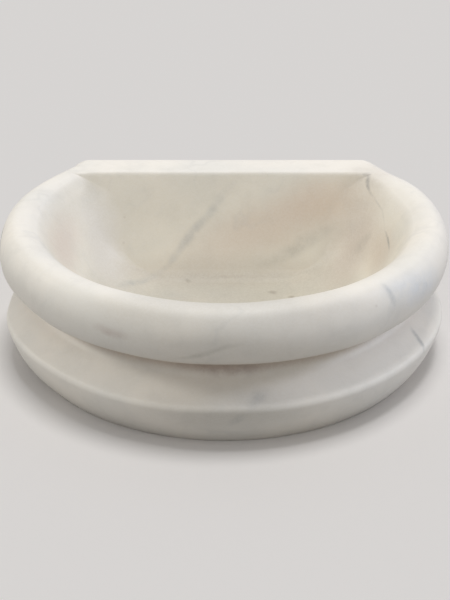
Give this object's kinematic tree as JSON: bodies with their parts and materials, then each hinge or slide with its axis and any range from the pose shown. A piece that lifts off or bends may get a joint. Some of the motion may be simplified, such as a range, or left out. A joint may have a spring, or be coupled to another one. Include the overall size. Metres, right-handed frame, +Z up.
{
  "type": "carved stone wash basin",
  "caption": "Half-round basin carved from one block of white marble, with a fat rolled rim, a flat back and a push-to-open waste in the floor.",
  "frame": {"origin": "on the drain axis at the foot, midway between the front of the rim and the flat back", "axes": "+X to the right of someone facing the basin, +Y towards the flat back, +Z up along the drain axis"},
  "size_m": [0.4998, 0.41, 0.157],
  "materials": {
    "marble": "satin",
    "chrome_plate": "polished",
    "brass": "satin",
    "rubber": "matte",
    "nylon": "matte",
    "acetal": "satin",
    "spring_steel": "satin"
  },
  "bodies": {
    "basin": {"basin_body": "marble", "waste_body": "chrome_plate", "flange_seal": "rubber", "under_seal": "rubber", "slip_washer": "nylon", "back_nut": "brass", "latch_barrel": "brass", "barrel_nut": "brass", "guide_bush": "acetal", "latch_spring": "spring_steel"},
    "plug": {"plug_cap": "chrome_plate", "plug_seal": "rubber", "plunger": "acetal"}
  },
  "joints": [
    {"name": "plug_lift", "type": "slide", "parent": "basin", "child": "plug", "axis": [0, 0, 1], "range_m": [0, 0.008], "deforming": ["latch_spring"]}
  ]
}
